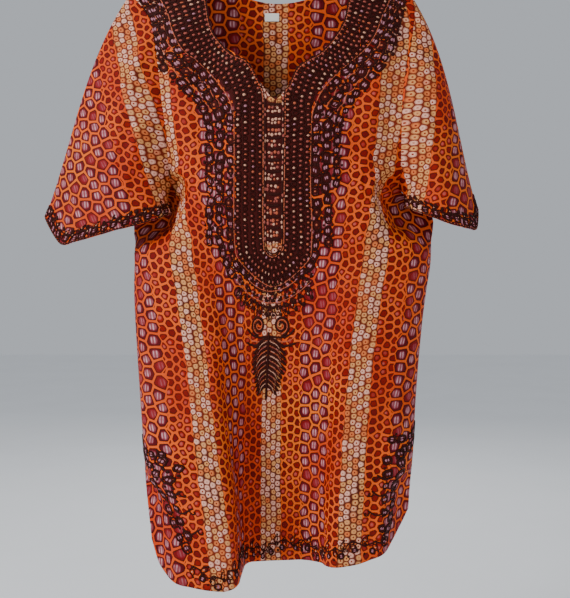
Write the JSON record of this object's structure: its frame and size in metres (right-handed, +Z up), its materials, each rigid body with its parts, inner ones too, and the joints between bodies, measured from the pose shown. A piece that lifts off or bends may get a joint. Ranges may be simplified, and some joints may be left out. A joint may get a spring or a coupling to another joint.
{
  "type": "dashiki shirt on hanger",
  "caption": "Thigh-length pullover shirt of printed cotton with a notched scoop neck, wide half sleeves, side vents and dark embroidery, hung on a plain bar hanger.",
  "frame": {"origin": "inside of the crown of the hanger hook, where it bears on a rail or peg", "axes": "+Z up, -Y towards the front of the shirt, +X towards the viewer's right (the wearer's left)"},
  "size_m": [0.6523, 0.1411, 1.0217],
  "materials": {
    "front_cloth": "printed cotton, red, maroon and cream, with black embroidery",
    "back_cloth": "printed cotton, red, maroon and cream",
    "sleeve_cloth": "printed cotton with a band of black embroidery at the cuff",
    "label": "woven, blank",
    "bar_wood": "satin varnish",
    "hook_wire": "bright drawn wire"
  },
  "bodies": {
    "root": {"front": "front_cloth", "back": "back_cloth", "sleeve_left": "sleeve_cloth", "sleeve_right": "sleeve_cloth", "neck_label": "label", "hanger_bar": "bar_wood", "hanger_hook": "hook_wire"}
  },
  "joints": []
}
